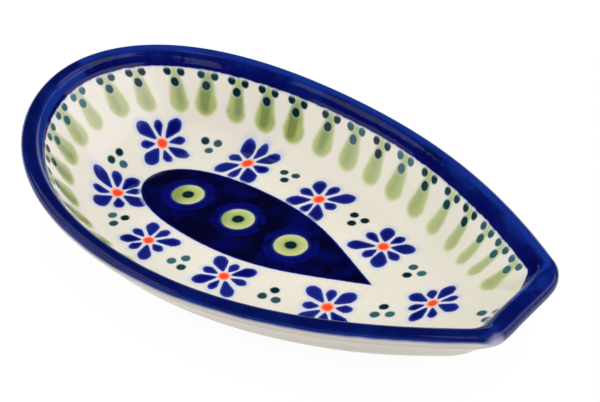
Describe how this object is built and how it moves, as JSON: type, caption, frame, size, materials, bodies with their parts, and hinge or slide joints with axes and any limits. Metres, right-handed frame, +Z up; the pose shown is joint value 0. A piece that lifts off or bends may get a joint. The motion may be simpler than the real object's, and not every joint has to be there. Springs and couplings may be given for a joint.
{
  "type": "spoon rest",
  "caption": "Egg-shaped glazed stoneware spoon rest with a rolled blue rim that sweeps up at the round end, a low straight lip for the handle and stamped flower decoration.",
  "frame": {"origin": "middle of the footprint's bounding box on the table, under the foot ring", "axes": "+X along the dish towards the low handle lip, with the round end at -X; +Z up; the dish is the same on both sides of the XZ plane"},
  "size_m": [0.1346, 0.087, 0.0292],
  "materials": {
    "stoneware": "matte",
    "bare_clay": "matte",
    "cream_glaze": "gloss",
    "cobalt_glaze": "gloss",
    "navy_colour": "gloss",
    "green_colour": "gloss",
    "teal_colour": "gloss",
    "blue_colour": "gloss",
    "orange_colour": "gloss"
  },
  "bodies": {
    "root": {"stoneware_body": "stoneware", "foot_ring": "bare_clay", "inside_glaze": "cream_glaze", "cobalt_rim": "cobalt_glaze", "outside_glaze": "cream_glaze", "base_glaze": "cream_glaze", "leaf_medallion": "navy_colour", "eye_rings": "green_colour", "eye_pupils": "teal_colour", "daisy_petals": "blue_colour", "daisy_hearts": "orange_colour", "dot_trios": "teal_colour", "wall_drops": "green_colour", "drop_dots": "teal_colour"}
  },
  "joints": []
}
